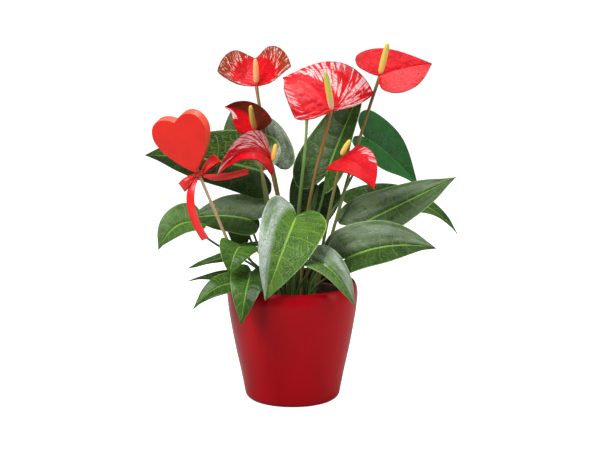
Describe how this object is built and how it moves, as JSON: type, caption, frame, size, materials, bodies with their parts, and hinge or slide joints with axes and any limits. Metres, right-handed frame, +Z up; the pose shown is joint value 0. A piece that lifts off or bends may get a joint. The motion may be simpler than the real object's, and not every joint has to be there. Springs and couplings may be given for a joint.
{
  "type": "potted anthurium",
  "caption": "Potted anthurium in a glazed round cover pot, with heart-shaped leaves, red spathes on stems, and a heart plaque on a stick tied with a ribbon bow.",
  "frame": {"origin": "centre of the cover pot's flat underside", "axes": "+Z up along the pot's axis; -Y towards the front, where the large light-green leaf hangs; +X to the right seen from the front"},
  "size_m": [0.3365, 0.1713, 0.3771],
  "materials": {
    "pot": "satin red glaze",
    "grow_pot": "matte brown nursery plastic",
    "soil": "crumbly peat and bark",
    "leaf": "glossy green leaf with pale veins",
    "stem": "smooth brown to green stem",
    "spathe": "waxy glossy red with raised veins",
    "spadix": "matte finely pitted yellow",
    "heart": "satin red paint",
    "stick": "bare pale wood",
    "ribbon": "red satin weave"
  },
  "bodies": {
    "root": {"cover_pot": "pot", "grow_pot": "grow_pot", "soil": "soil", "leaf_front": "leaf", "leaf_front_right": "leaf", "leaf_front_low": "leaf", "leaf_front_left": "leaf", "leaf_left_low": "leaf", "leaf_left_thin": "leaf", "leaf_left_dark": "leaf", "leaf_left_small": "leaf", "leaf_left_mid": "leaf", "leaf_left_high": "leaf", "leaf_back_left_high": "leaf", "leaf_back_mid": "leaf", "leaf_back_high": "leaf", "leaf_back_low": "leaf", "leaf_right_high": "leaf", "leaf_right_back": "leaf", "leaf_right": "leaf", "leaf_right_low": "leaf", "leaf_back_left_low": "leaf", "leaf_young": "leaf", "stem_top_left": "stem", "spathe_top_left": "spathe", "spadix_top_left": "spadix", "stem_half_open": "stem", "spathe_half_open": "spathe", "spadix_half_open": "spadix", "stem_hooded": "stem", "spathe_hooded": "spathe", "spadix_hooded": "spadix", "stem_main": "stem", "spathe_main": "spathe", "spadix_main": "spadix", "stem_top_right": "stem", "spathe_top_right": "spathe", "spadix_top_right": "spadix", "stem_reflexed": "stem", "spathe_reflexed": "spathe", "spadix_reflexed": "spadix", "heart": "heart", "heart_stick": "stick", "ribbon_knot": "ribbon", "ribbon_loop_left": "ribbon", "ribbon_loop_right": "ribbon", "ribbon_tail_left": "ribbon", "ribbon_tail_right": "ribbon"}
  },
  "joints": []
}
